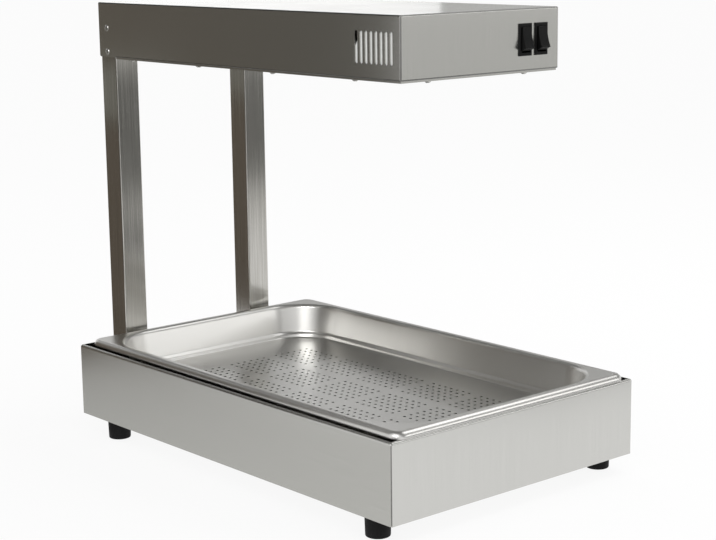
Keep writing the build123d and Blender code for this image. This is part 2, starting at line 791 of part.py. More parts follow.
def switch_housing(x):
    """Snap-in switch body with its bezel and the well that the rocker turns in."""
    front = hood_front - bezel_thickness
    bezel = box_between((x - bezel_width / 2, front, switch_z - bezel_height / 2),
                        (x + bezel_width / 2, hood_front, switch_z + bezel_height / 2))
    bezel = fillet(bezel.edges().group_by(Axis.Y)[0], bezel_edge)
    rear = hood_front + switch_body_depth
    body = box_between((x - switch_body_width / 2, hood_front, switch_z - switch_body_height / 2),
                       (x + switch_body_width / 2, rear, switch_z + switch_body_height / 2))
    floor = front + rocker_well_depth
    well = box_between((x - rocker_well_width / 2, front - 1, switch_z - rocker_well_height / 2),
                       (x + rocker_well_width / 2, floor, switch_z + rocker_well_height / 2))
    pin_hole = rod((x - switch_body_width, pivot_y, switch_z), (1, 0, 0),
                   pivot_pin_radius + pivot_seat_gap, 2 * switch_body_width)
    return bezel + body - well - pin_hole


def rocker(x):
    """Dished rocker, tilted to rest with its upper end pressed in."""
    half = rocker_well_width / 2 - rocker_side_gap
    plane = Plane(origin=(x - half, pivot_y, switch_z), x_dir=(0, -1, 0), z_dir=(1, 0, 0))
    low_tip = (rocker_tip_out, rocker_tip_rise)
    high_tip = (rocker_tip_out, -rocker_tip_rise)
    face = ThreePointArc(low_tip, (rocker_dish, 0), high_tip)
    back = Polyline(high_tip, (rocker_heel_out, -rocker_heel_rise), (-rocker_back, -rocker_back_rise),
                    (-rocker_back, rocker_back_rise), (rocker_heel_out, rocker_heel_rise), low_tip)
    block = extrude(plane * make_face([face, back]), 2 * half)
    block = fillet(block.edges().filter_by(Axis.X), rocker_edge)
    bore = rod((x - bezel_width, pivot_y, switch_z), (1, 0, 0),
               pivot_pin_radius + pivot_running_gap, 2 * bezel_width)
    axis = Axis((x, pivot_y, switch_z), (1, 0, 0))
    return (block - bore).rotate(axis, -rocker_tilt)


def rocker_pin(x):
    """Steel pivot pin held in the switch body's side walls."""
    return rod((x - switch_body_width / 2, pivot_y, switch_z), (1, 0, 0), pivot_pin_radius, switch_body_width)


def switch_blades(x):
    """Flat push-on terminals at the back of a switch."""
    blades = []
    for z in (switch_z - blade_pitch, switch_z + blade_pitch):
        blades.append(box_between((x - blade_width / 2, blade_tip - blade_length, z - blade_thickness / 2),
                                  (x + blade_width / 2, blade_tip, z + blade_thickness / 2)))
    return blades


def gland_body():
    """Threaded gland through the base's rear wall, with an open bore for a cord."""
    wall = (gland_offset, base_rear, gland_z)
    flange = hexagon_bar(wall, (0, 1, 0), gland_flange_width, gland_flange_height)
    nose = rod(wall, (0, 1, 0), gland_nose_radius, gland_flange_height + gland_nose_length)
    tail = rod(wall, (0, -1, 0), gland_thread_radius, gland_tail)
    bore = rod((gland_offset, base_rear - gland_tail, gland_z), (0, 1, 0), gland_bore,
               gland_tail + gland_flange_height + gland_nose_length)
    return flange + nose + tail - bore


def gland_cap():
    """Dome nut over the gland's nose."""
    face = (gland_offset, base_rear + gland_flange_height, gland_z)
    length = gland_nose_length + gland_cap_lid
    cap = hexagon_bar(face, (0, 1, 0), gland_cap_width, length)
    cap = fillet(cap.edges().group_by(Axis.Y)[-1], gland_cap_edge)
    cap -= rod(face, (0, 1, 0), gland_nose_radius + gland_thread_clearance, gland_nose_length)
    return cap - rod(face, (0, 1, 0), gland_bore, length)


def gland_locknut():
    """Thin nut that clamps the gland from inside the base."""
    face = (gland_offset, base_rear - base_sheet, gland_z)
    nut = hexagon_bar(face, (0, -1, 0), gland_locknut_width, gland_locknut_height)
    return nut - rod(face, (0, -1, 0), gland_thread_radius + gland_thread_clearance, gland_locknut_height)


save("gn_pan", gastronorm_pan())
save("base_shell", base_shell())
save("base_bottom_plate", base_bottom_plate())
for corner_name, spot in foot_places().items():
    save(f"foot_{corner_name}", rubber_foot(*spot))
save("foot_screws", *[foot_screw(*spot) for spot in foot_places().values()])
save("foot_nuts", *[foot_nut(*spot) for spot in foot_places().values()])
for side_name, side_sign in (("left", -1), ("right", 1)):
    save(f"post_{side_name}", post(side_sign))
    save(f"post_plug_{side_name}", post_plug(side_sign))
    save(f"lamp_tube_{side_name}", lamp_tube(side_sign))
    save(f"lamp_coil_{side_name}", lamp_coil(side_sign))
    save(f"lamp_cap_front_{side_name}", lamp_cap(side_sign, True))
    save(f"lamp_cap_rear_{side_name}", lamp_cap(side_sign, False))
save("post_bolts", *[post_bolt(*spot) for spot in post_bolt_places()])
save("post_nuts", *[post_nut(*spot) for spot in post_bolt_places()])
save("hood_cover", hood_cover())
save("hood_floor_frame", hood_floor_frame())
for side_name, side_sign in (("left", -1), ("right", 1)):
    save(f"vent_board_{side_name}", vent_board(side_sign))
save("hood_dome_screws", *[dome_screw(*spot) for spot in dome_screw_places()])
save("hood_side_screws", *[side_screw(*spot) for spot in side_screw_places()])
save("reflector", reflector())
save("front_bulkhead", front_bulkhead())
save("rear_end_plate", rear_end_plate())
save("lamp_guard", lamp_guard())
save("terminal_block", terminal_block())
left_x, right_x = switch_places().values()
save("lamp_lead_left", lamp_lead(-1, left_x, 0.30))
save("lamp_lead_right", lamp_lead(1, right_x, 0.70))
save("supply_lead_left", supply_lead(2, left_x, 0.45))
save("supply_lead_right", supply_lead(3, right_x, 0.62))
save("return_lead_left", return_lead(-1, 0, 0.55))
save("return_lead_right", return_lead(1, 1, 0.28))
for side_name, switch_x in switch_places().items():
    save(f"switch_housing_{side_name}", switch_housing(switch_x))
    save(f"rocker_{side_name}", rocker(switch_x))
    save(f"rocker_pin_{side_name}", rocker_pin(switch_x))
save("switch_blades", *[blade for switch_x in switch_places().values() for blade in switch_blades(switch_x)])
save("gland_body", gland_body())
save("gland_cap", gland_cap())
save("gland_locknut", gland_locknut())
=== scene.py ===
import math

import bpy
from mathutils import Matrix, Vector


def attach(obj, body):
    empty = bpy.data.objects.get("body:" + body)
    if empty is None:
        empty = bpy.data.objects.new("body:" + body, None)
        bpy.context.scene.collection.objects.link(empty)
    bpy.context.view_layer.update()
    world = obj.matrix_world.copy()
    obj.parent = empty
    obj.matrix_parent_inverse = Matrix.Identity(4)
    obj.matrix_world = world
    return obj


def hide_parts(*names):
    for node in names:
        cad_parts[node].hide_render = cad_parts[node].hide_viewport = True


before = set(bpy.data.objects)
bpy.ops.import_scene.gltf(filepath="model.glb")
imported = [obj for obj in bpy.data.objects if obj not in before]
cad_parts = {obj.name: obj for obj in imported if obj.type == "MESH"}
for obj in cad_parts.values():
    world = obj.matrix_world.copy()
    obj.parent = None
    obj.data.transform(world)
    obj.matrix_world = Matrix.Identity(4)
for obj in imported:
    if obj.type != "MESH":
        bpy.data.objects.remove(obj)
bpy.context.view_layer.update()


# Base box. 1.2 mm stainless sheet, folded into four walls with a narrow lip along the top, a ledge for
# the pan at front and rear and a return along the bottom, and closed by a drip plate. Brushed before
# folding, so that its lines run level along the two long walls and upright on the ends.

def linear(colour):
    """An sRGB hex colour as linear red, green, blue and alpha."""
    channels = [int(colour[i:i + 2], 16) / 255 for i in (1, 3, 5)]
    return [c / 12.92 if c <= 0.04045 else ((c + 0.055) / 1.055) ** 2.4 for c in channels] + [1.0]


def add(tree, kind, settings, inputs):
    """Add a node with its settings, and fill its sockets with values or with links from other nodes."""
    node = tree.nodes.new(kind)
    for name, value in settings.items():
        setattr(node, name, value)
    for name, value in inputs.items():
        if isinstance(value, bpy.types.NodeSocket):
            tree.links.new(value, node.inputs[name])
        else:
            node.inputs[name].default_value = value
    return node


def start_material(name):
    """A new node material with nothing in it but its output."""
    material = bpy.data.materials.new(name)
    material.use_nodes = True
    tree = material.node_tree
    tree.nodes.clear()
    output = add(tree, "ShaderNodeOutputMaterial", {}, {})
    return material, tree, output


def dress(material, *names):
    """Give CAD nodes a finish."""
    for name in names:
        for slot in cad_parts[name].material_slots:
            slot.material = material


def brushed_sheet(name, dark, light, smooth, rough, painted_bend_shade):
    """Brushed stainless sheet. The eye gets hairlines, level on the long walls and upright on the ends
    that are folded down with them, a soft glow drawn out across the lines, slow cloudy changes in
    brightness, and bends that have no lines and whose colour is darkened by the last argument, a painted
    shade. Real lines are 0.1 mm wide, too fine to show in the render, so they are drawn about 1 mm wide
    and 120 mm long."""
    line_width, line_length, line_depth, cloud_size = 0.0011, 0.12, 0.0002, 0.09
    scratch_width, scratch_length, scratch_share = 0.0005, 0.03, 0.3
    end_layer, flat_layer = 0.2, 0.4  # slices of the pattern, so that ends and flats have their own
    facing_range = {"From Min": 0.6, "From Max": 0.8}
    material, tree, output = start_material(name)
    place = add(tree, "ShaderNodeTexCoord", {}, {})
    axes = add(tree, "ShaderNodeSeparateXYZ", {}, {"Vector": place.outputs["Object"]})
    facing = add(tree, "ShaderNodeSeparateXYZ", {}, {"Vector": place.outputs["Normal"]})
    upward = add(tree, "ShaderNodeMath", {"operation": "ABSOLUTE"}, {0: facing.outputs["Z"]})
    level = add(tree, "ShaderNodeMapRange", {}, {"Value": upward.outputs[0], **facing_range})
    endward = add(tree, "ShaderNodeMath", {"operation": "ABSOLUTE"}, {0: facing.outputs["Y"]})
    end = add(tree, "ShaderNodeMapRange", {}, {"Value": endward.outputs[0], **facing_range})
    sideward = add(tree, "ShaderNodeMath", {"operation": "ABSOLUTE"}, {0: facing.outputs["X"]})
    long_wall = add(tree, "ShaderNodeCombineXYZ", {}, {"X": axes.outputs["Y"], "Y": axes.outputs["Z"]})
    end_wall = add(tree, "ShaderNodeCombineXYZ", {},
                   {"X": axes.outputs["Z"], "Y": axes.outputs["X"], "Z": end_layer})
    flat = add(tree, "ShaderNodeCombineXYZ", {},
               {"X": axes.outputs["Y"], "Y": axes.outputs["X"], "Z": flat_layer})
    wall = add(tree, "ShaderNodeMix", {"data_type": "VECTOR"},
               {0: end.outputs[0], 4: long_wall.outputs[0], 5: end_wall.outputs[0]})
    sheet = add(tree, "ShaderNodeMix", {"data_type": "VECTOR"},
                {0: level.outputs[0], 4: wall.outputs[1], 5: flat.outputs[0]})
    lines = add(tree, "ShaderNodeMapping", {},
                {"Vector": sheet.outputs[1], "Scale": (1 / line_length, 1 / line_width, 1)})
    brush = add(tree, "ShaderNodeTexNoise", {},
                {"Vector": lines.outputs[0], "Scale": 1.0, "Detail": 3.0, "Roughness": 0.65})
    hair = add(tree, "ShaderNodeMapping", {},
               {"Vector": sheet.outputs[1], "Scale": (1 / scratch_length, 1 / scratch_width, 1)})
    scratch = add(tree, "ShaderNodeTexNoise", {},
                  {"Vector": hair.outputs[0], "Scale": 1.0, "Detail": 1.0, "Roughness": 0.5})
    cloud = add(tree, "ShaderNodeTexNoise", {},
                {"Vector": place.outputs["Object"], "Scale": 1 / cloud_size, "Detail": 2.0})
    grain = add(tree, "ShaderNodeMix", {"data_type": "FLOAT"},
                {0: scratch_share, 2: brush.outputs[0], 3: scratch.outputs[0]})
    shade = add(tree, "ShaderNodeMapRange", {},
                {"Value": grain.outputs[0], "From Min": 0.3, "From Max": 0.7})
    tint = add(tree, "ShaderNodeMix", {"data_type": "RGBA"},
               {0: shade.outputs[0], 6: linear(dark), 7: linear(light)})
    # A bend is where the surface faces along no axis: there the lines fade out and the colour is
    # darkened, a painted shade
    most_wall = add(tree, "ShaderNodeMath", {"operation": "MAXIMUM"},
                    {0: endward.outputs[0], 1: sideward.outputs[0]})
    most = add(tree, "ShaderNodeMath", {"operation": "MAXIMUM"},
               {0: most_wall.outputs[0], 1: upward.outputs[0]})
    flatness = add(tree, "ShaderNodeMapRange", {},
                   {"Value": most.outputs[0], "From Min": 0.96, "From Max": 0.999})
    # Painted shade: on the bends the colour is multiplied down by the last argument
    bend = add(tree, "ShaderNodeMix", {"data_type": "FLOAT"},
               {0: flatness.outputs[0], 2: painted_bend_shade, 3: 1.0})
    tint_with_painted_bend_shade = add(tree, "ShaderNodeMix", {"data_type": "RGBA", "blend_type": "MULTIPLY"},
               {0: 1.0, 6: tint.outputs[2], 7: bend.outputs[0]})
    gloss = add(tree, "ShaderNodeMath", {"operation": "ADD"}, {0: grain.outputs[0], 1: cloud.outputs[0]})
    rubbed = add(tree, "ShaderNodeMix", {"data_type": "FLOAT"},
                 {0: flatness.outputs[0], 2: 1.0, 3: gloss.outputs[0]})
    sheen = add(tree, "ShaderNodeMapRange", {},
                {"Value": rubbed.outputs[0], "From Min": 0.6, "From Max": 1.4,
                 "To Min": smooth, "To Max": rough})
    ridges = add(tree, "ShaderNodeMath", {"operation": "MULTIPLY"},
                 {0: grain.outputs[0], 1: flatness.outputs[0]})
    bump = add(tree, "ShaderNodeBump", {},
               {"Strength": 0.08, "Distance": line_depth, "Height": ridges.outputs[0]})
    sideways = add(tree, "ShaderNodeMath", {"operation": "MAXIMUM"},
                   {0: level.outputs[0], 1: end.outputs[0]})
    across = add(tree, "ShaderNodeMix", {"data_type": "VECTOR"},
                 {0: sideways.outputs[0], 4: (0, 0, 1), 5: (1, 0, 0)})
    metal = add(tree, "ShaderNodeBsdfPrincipled", {},
                {"Base Color": tint_with_painted_bend_shade.outputs[2], "Metallic": 1.0, "Roughness": sheen.outputs[0],
                 "Anisotropic": 0.5, "Tangent": across.outputs[1], "Normal": bump.outputs[0]})
    tree.links.new(metal.outputs[0], output.inputs["Surface"])
    return material


# The last value, 0.75, darkens the base's bends a little: painted shade along its folds
base_steel = brushed_sheet("brushed_stainless_base", "#CACAC6", "#D0CFCC",
                           smooth=0.22, rough=0.27, painted_bend_shade=0.75)
dress(base_steel, "base_shell", "base_bottom_plate")


# Rubber feet. Black rubber, moulded into a short cone that is nearly black and matt. A screw in the
# recess below goes up through foot, return and drip plate and holds them together.

def moulded(name, dark, light, smooth, rough, grit):
    """A moulded, fired or pressed skin: rubber, plastic, ceramic, board or sleeve. The eye gets one even
    colour, rubbed a little duller in patches, and a fine grain that breaks up the shine."""
    patch_size, grain_depth = 0.0083333, 0.0003
    material, tree, output = start_material(name)
    place = add(tree, "ShaderNodeTexCoord", {}, {})
    grain = add(tree, "ShaderNodeTexNoise", {},
                {"Vector": place.outputs["Object"], "Scale": 1 / grit, "Detail": 3.0, "Roughness": 0.6})
    wear = add(tree, "ShaderNodeTexNoise", {},
               {"Vector": place.outputs["Object"], "Scale": 1 / patch_size, "Detail": 2.0})
    tint = add(tree, "ShaderNodeMix", {"data_type": "RGBA"},
               {0: wear.outputs[0], 6: linear(dark), 7: linear(light)})
    sheen = add(tree, "ShaderNodeMapRange", {},
                {"Value": wear.outputs[0], "From Min": 0.3, "From Max": 0.7,
                 "To Min": smooth, "To Max": rough})
    bump = add(tree, "ShaderNodeBump", {},
               {"Strength": 0.25, "Distance": grain_depth, "Height": grain.outputs[0]})
    skin = add(tree, "ShaderNodeBsdfPrincipled", {},
               {"Base Color": tint.outputs[2], "Roughness": sheen.outputs[0], "IOR": 1.45,
                "Specular IOR Level": 0.25, "Normal": bump.outputs[0]})
    tree.links.new(skin.outputs[0], output.inputs["Surface"])
    return material


foot_rubber = moulded("moulded_black_rubber", "#060606", "#0C0C0C",
                      smooth=0.6, rough=0.75, grit=0.0006)
dress(foot_rubber, *[f"foot_{end}_{side}" for end in ("front", "rear") for side in ("left", "right")])


# Fixings of feet and posts. Zinc-plated steel, dull with a faint yellow cast: a cross-recess screw and a
# nut to each foot, and bolts with nuts that hold the posts to the base's rear wall.

def plain_metal(name, dark, light, smooth, rough, grit):
    """Plain metal. The eye gets an even shine, a little uneven from plating, drawing or handling."""
    material, tree, output = start_material(name)
    place = add(tree, "ShaderNodeTexCoord", {}, {})
    grain = add(tree, "ShaderNodeTexNoise", {},
                {"Vector": place.outputs["Object"], "Scale": 1 / grit, "Detail": 3.0, "Roughness": 0.6})
    tint = add(tree, "ShaderNodeMix", {"data_type": "RGBA"},
               {0: grain.outputs[0], 6: linear(dark), 7: linear(light)})
    sheen = add(tree, "ShaderNodeMapRange", {},
                {"Value": grain.outputs[0], "From Min": 0.3, "From Max": 0.7,
                 "To Min": smooth, "To Max": rough})
    metal = add(tree, "ShaderNodeBsdfPrincipled", {},
                {"Base Color": tint.outputs[2], "Metallic": 1.0, "Roughness": sheen.outputs[0]})
    tree.links.new(metal.outputs[0], output.inputs["Surface"])
    return material


zinc = plain_metal("zinc_plated_steel", "#A9A79C", "#C6C4BA", smooth=0.3, rough=0.42, grit=0.003)
dress(zinc, "foot_nuts", "post_bolts", "post_nuts")


def cross_screw(name, head_radius, head_height, shank_radius, shank_length, finish):
    """A screw that stands on the origin, head up. A slice of a ball is the head, its underside is drawn
    in and pulled down into the shank, and two crossed blades cut the recess."""
    ball = (head_radius ** 2 + head_height ** 2) / (2 * head_height)
    tip_length, tip_taper = shank_radius / 2, 0.6
    blade_size = (head_radius * 1.1, head_radius * 0.3, head_height * 1.1)
    bpy.ops.object.select_all(action="DESELECT")
    bpy.ops.mesh.primitive_uv_sphere_add(segments=32, ring_count=32, radius=ball,
                                         location=(0, 0, head_height - ball))
    screw = bpy.context.object
    screw.name = name
    bpy.ops.object.transform_apply(location=True, rotation=True, scale=True)
    bpy.ops.object.mode_set(mode="EDIT")
    bpy.ops.mesh.select_all(action="SELECT")
    bpy.ops.mesh.bisect(plane_co=(0, 0, 0), plane_no=(0, 0, 1), use_fill=True, clear_inner=True)
    bpy.ops.mesh.inset(thickness=head_radius - shank_radius)
    bpy.ops.mesh.extrude_region_move(TRANSFORM_OT_translate={"value": (0, 0, tip_length - shank_length)})
    bpy.ops.mesh.extrude_region_move(TRANSFORM_OT_translate={"value": (0, 0, -tip_length)})
    bpy.ops.transform.resize(value=(tip_taper, tip_taper, 1), center_override=(0, 0, -shank_length))
    bpy.ops.mesh.select_all(action="SELECT")
    bpy.ops.mesh.normals_make_consistent(inside=False)
    bpy.ops.object.mode_set(mode="OBJECT")
    for turn in (45, 135):
        bpy.ops.object.select_all(action="DESELECT")
        bpy.ops.mesh.primitive_cube_add(size=1.0, location=(0, 0, head_height),
                                        rotation=(0, 0, math.radians(turn)), scale=blade_size)
        blade = bpy.context.object
        cut = screw.modifiers.new("recess", "BOOLEAN")
        cut.operation, cut.solver, cut.object = "DIFFERENCE", "EXACT", blade
        bpy.context.view_layer.objects.active = screw
        bpy.ops.object.modifier_apply(modifier="recess")
        bpy.data.objects.remove(blade)
    bpy.ops.object.select_all(action="DESELECT")
    screw.select_set(True)
    bpy.ops.object.shade_smooth_by_angle(angle=math.radians(30))
    screw.data.materials.clear()
    screw.data.materials.append(finish)
    return screw


def drive(screw, places, turns, node):
    """Copy a screw to each of its places, turned so that its head faces out, and drop the first one."""
    for number, place in enumerate(places, 1):
        bpy.ops.object.select_all(action="DESELECT")
        copy = screw.copy()
        copy.data = screw.data.copy()
        copy.name = f"{screw.name}_{number}"
        bpy.context.collection.objects.link(copy)
        copy.location = place
        copy.rotation_euler = [math.radians(a) for a in turns]
        copy.select_set(True)
        bpy.context.view_layer.objects.active = copy
        bpy.ops.object.transform_apply(location=True, rotation=True, scale=True)
        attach(copy, "frame")
        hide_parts(node)
    bpy.data.objects.remove(screw)


foot_x, foot_front, foot_rear, foot_recess = 0.1575, -0.251, 0.198, 0.009
head_down = (180, 0, 0)
foot_screw = cross_screw("foot_screw", head_radius=0.0045, head_height=0.003,
                         shank_radius=0.0025, shank_length=0.0172, finish=zinc)
drive(foot_screw, [(x, y, foot_recess) for x in (-foot_x, foot_x) for y in (foot_front, foot_rear)],
      head_down, "foot_screws")


# Posts. 30 mm square stainless tube, brushed along its length, bolted to the base's rear wall and closed
# below by black nylon plugs. The cord gland beside the right post is moulded from the same nylon.

def brushed_tube(name, dark, light, smooth, rough):
    """Brushed stainless tube. The eye gets upright hairlines and a glow drawn out sideways, with a
    colour darker than the sheet, partly painted shade. Lines are drawn 1 mm wide and 150 mm long,
    coarser than real ones, so that they show."""
    line_width, line_length, line_depth, cloud_size = 0.0011, 0.15, 0.0002, 0.06
    material, tree, output = start_material(name)
    place = add(tree, "ShaderNodeTexCoord", {}, {})
    lines = add(tree, "ShaderNodeMapping", {},
                {"Vector": place.outputs["Object"],
                 "Scale": (1 / line_width, 1 / line_width, 1 / line_length)})
    brush = add(tree, "ShaderNodeTexNoise", {},
                {"Vector": lines.outputs[0], "Scale": 1.0, "Detail": 3.0, "Roughness": 0.65})
    cloud = add(tree, "ShaderNodeTexNoise", {},
                {"Vector": place.outputs["Object"], "Scale": 1 / cloud_size, "Detail": 2.0})
    shade = add(tree, "ShaderNodeMapRange", {},
                {"Value": brush.outputs[0], "From Min": 0.3, "From Max": 0.7})
    tint = add(tree, "ShaderNodeMix", {"data_type": "RGBA"},
               {0: shade.outputs[0], 6: linear(dark), 7: linear(light)})
    gloss = add(tree, "ShaderNodeMath", {"operation": "ADD"}, {0: brush.outputs[0], 1: cloud.outputs[0]})
    sheen = add(tree, "ShaderNodeMapRange", {},
                {"Value": gloss.outputs[0], "From Min": 0.6, "From Max": 1.4,
                 "To Min": smooth, "To Max": rough})
    bump = add(tree, "ShaderNodeBump", {},
               {"Strength": 0.08, "Distance": line_depth, "Height": brush.outputs[0]})
    across = add(tree, "ShaderNodeVectorMath", {"operation": "CROSS_PRODUCT"},
                 {0: place.outputs["Normal"], 1: (0, 0, 1)})
    metal = add(tree, "ShaderNodeBsdfPrincipled", {},
                {"Base Color": tint.outputs[2], "Metallic": 1.0, "Roughness": sheen.outputs[0],
                 "Anisotropic": 0.5, "Tangent": across.outputs[0], "Normal": bump.outputs[0]})
    tree.links.new(metal.outputs[0], output.inputs["Surface"])
    return material


# Darker than the sheet: partly the tube's own tone, partly painted shade for the dark posts
post_steel = brushed_tube("brushed_stainless_tube", "#B0AEA9", "#CECCC7", smooth=0.15, rough=0.19)
dress(post_steel, "post_left", "post_right")
# Nylon: charcoal rather than black, with a satin shine
black_plastic = moulded("moulded_black_nylon", "#151516", "#1F1F20",
                        smooth=0.42, rough=0.55, grit=0.0005)
dress(black_plastic, "post_plug_left", "post_plug_right", "gland_body", "gland_cap", "gland_locknut")


# Gastronorm pan. Stainless sheet, deep-drawn with a turned-down rim and a punched floor, satin-polished
# all over, loose in the base's opening.

# Satin polish: a broad soft glow without lines, uneven in slow clouds about 50 mm across
pan_steel = plain_metal("satin_polished_stainless", "#CFCECB", "#D3D2CF",
                        smooth=0.285, rough=0.305, grit=0.05)
dress(pan_steel, "gn_pan")


# Lamp hood. 1 mm stainless cover, folded and brushed as the base is, with vent slots and cut-outs for
# the switches. It sits on a flat floor frame of 2 mm sheet and is screwed to the posts.

# The last value, 0.3, darkens the hood's bends strongly: painted shade along its folded edges
hood_steel = brushed_sheet("brushed_stainless_hood", "#CACAC6", "#D0CFCC",
                           smooth=0.19, rough=0.24, painted_bend_shade=0.3)
dress(hood_steel, "hood_cover", "hood_floor_frame")


# Screws of the hood. Polished stainless with a cross recess: ten dome-headed ones up through the floor
# frame into the cover's lip, and two pan-headed ones to each post through the cover's sides.

# Polished stainless: small bright glints on a dark shine
screw_steel = plain_metal("polished_stainless_screw", "#B9B8B4", "#D0CFCB",
                          smooth=0.18, rough=0.26, grit=0.002)
frame_under = 0.428
dome_screw = cross_screw("dome_screw", head_radius=0.0038, head_height=0.0024,
                         shank_radius=0.002, shank_length=0.008, finish=screw_steel)
side_edge = [(x, y, frame_under) for x in (-0.1, 0.1) for y in (-0.1593, -0.0293, 0.1007, 0.2307)]
front_edge = [(x, -0.226, frame_under) for x in (-0.066, 0.066)]
drive(dome_screw, side_edge + front_edge, head_down, "hood_dome_screws")
post_middle, side_screw_heights = 0.269, (0.436, 0.463)
for side, x in (("left", -0.108), ("right", 0.108)):
    side_screw = cross_screw(f"side_screw_{side}", head_radius=0.0036, head_height=0.0017,
                             shank_radius=0.002, shank_length=0.006, finish=screw_steel)
    drive(side_screw, [(x, post_middle, z) for z in side_screw_heights], (0, math.copysign(90, x), 0),
          "hood_side_screws")


# Lamps. Two drawn quartz tubes with a wound heating wire in each, held by ceramic ends in a bulkhead and
# an end plate, under a bright aluminium reflector and behind a welded wire guard. Pale fibre boards
# stand behind the vent slots.

# Rolled aluminium: nearly a mirror
bright_aluminium = plain_metal("bright_rolled_aluminium", "#D6D6D7", "#E2E2E3",
                               smooth=0.12, rough=0.2, grit=0.004)
dress(bright_aluminium, "reflector", "front_bulkhead", "rear_end_plate")
# Oxidised wire: dull brown-grey
coil_wire = plain_metal("oxidised_heating_wire", "#3E3632", "#594D45",
                        smooth=0.45, rough=0.6, grit=0.002)
coil_radius, wire_radius, coil_pitch, coil_front, coil_rear = 0.0016, 0.0003, 0.0012, -0.147, 0.232
coil_turns = int((coil_rear - coil_front - 2 * wire_radius) / coil_pitch)
lamp_height = 0.452
for side, x in (("left", -0.038), ("right", 0.038)):
    bpy.ops.object.select_all(action="DESELECT")
    bpy.ops.mesh.primitive_circle_add(vertices=5, radius=wire_radius,
                                      location=(x, coil_front + wire_radius, lamp_height))
    coil = bpy.context.object
    coil.name = f"wound_coil_{side}"
    bpy.ops.object.mode_set(mode="EDIT")
    bpy.ops.mesh.select_all(action="SELECT")
    bpy.ops.transform.translate(value=(coil_radius - wire_radius, 0, 0))
    bpy.ops.object.mode_set(mode="OBJECT")
    winding = coil.modifiers.new("winding", "SCREW")
    winding.axis, winding.screw_offset, winding.iterations = "Y", coil_pitch, coil_turns
    winding.steps = winding.render_steps = 8
    bpy.ops.object.modifier_apply(modifier="winding")
    bpy.ops.object.mode_set(mode="EDIT")
    bpy.ops.mesh.select_all(action="SELECT")
    bpy.ops.mesh.remove_doubles(threshold=0.00001)
    bpy.ops.mesh.normals_make_consistent(inside=False)
    bpy.ops.object.mode_set(mode="OBJECT")
    bpy.ops.object.transform_apply(location=True, rotation=True, scale=True)
    bpy.ops.object.shade_smooth()
    coil.data.materials.append(coil_wire)
    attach(coil, "frame")
    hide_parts(f"lamp_coil_{side}")
# Drawn wire: bright along its length, duller than sheet
guard_steel = plain_metal("drawn_stainless_wire", "#B6B5B1", "#C8C7C3",
                          smooth=0.24, rough=0.32, grit=0.002)
dress(guard_steel, "lamp_guard")

# Quartz glass: clear, with a faint haze in patches about 17 mm long
haze_size = 0.0166667
quartz, quartz_tree, quartz_output = start_material("drawn_quartz_glass")
quartz_place = add(quartz_tree, "ShaderNodeTexCoord", {}, {})
quartz_draw = add(quartz_tree, "ShaderNodeTexNoise", {},
                  {"Vector": quartz_place.outputs["Object"], "Scale": 1 / haze_size, "Detail": 2.0})
quartz_haze = add(quartz_tree, "ShaderNodeMapRange", {},
                  {"Value": quartz_draw.outputs[0], "From Min": 0.3, "From Max": 0.7,
                   "To Min": 0.03, "To Max": 0.12})
quartz_glass = add(quartz_tree, "ShaderNodeBsdfPrincipled", {},
                   {"Base Color": linear("#F6F4F0"), "Roughness": quartz_haze.outputs[0], "IOR": 1.46,
                    "Transmission Weight": 1.0})
quartz_tree.links.new(quartz_glass.outputs[0], quartz_output.inputs["Surface"])
dress(quartz, "lamp_tube_left", "lamp_tube_right")

# Unglazed ceramic: cream and chalky. Fibre board: white and matt, so that the slots in front look white
ceramic = moulded("fired_white_ceramic", "#DFD9CD", "#ECE8DF", smooth=0.5, rough=0.65, grit=0.0008)
dress(ceramic, *[f"lamp_cap_{end}_{side}" for end in ("front", "rear") for side in ("left", "right")],
      "terminal_block")
fibre_board = moulded("pressed_white_fibre_board", "#E6E6E4", "#F0F0EE",
                      smooth=0.7, rough=0.85, grit=0.0008)
dress(fibre_board, "vent_board_left", "vent_board_right")


# Rocker switches and wiring. Moulded black housings snap into the hood's front, each with a rocker on a
# steel pin. Push-on brass blades and leads in glass-fibre sleeve join them to the lamps.

# Switch plastic: deep black with a soft shine
switch_plastic = moulded("moulded_black_switch_plastic", "#030303", "#060606",
                         smooth=0.45, rough=0.6, grit=0.0005)
dress(switch_plastic, "switch_housing_left", "switch_housing_right", "rocker_left", "rocker_right")
dress(screw_steel, "rocker_pin_left", "rocker_pin_right")
# Stamped brass: warm yellow, dulled by handling. Glass-fibre sleeve: cream and matt
brass = plain_metal("stamped_brass", "#B89A58", "#CDB06C", smooth=0.28, rough=0.4, grit=0.002)
dress(brass, "switch_blades")
sleeve = moulded("glass_fibre_sleeve", "#CFCABD", "#E0DCD1", smooth=0.7, rough=0.85, grit=0.0008)
dress(sleeve, *[f"{run}_lead_{side}" for run in ("lamp", "supply", "return")
                for side in ("left", "right")])


# Floor. A white table top with the object's soft shadow, fading into a white room. To the camera, to
# metal and to glass most of it glows white, and the rest of it takes the light and the shadow.

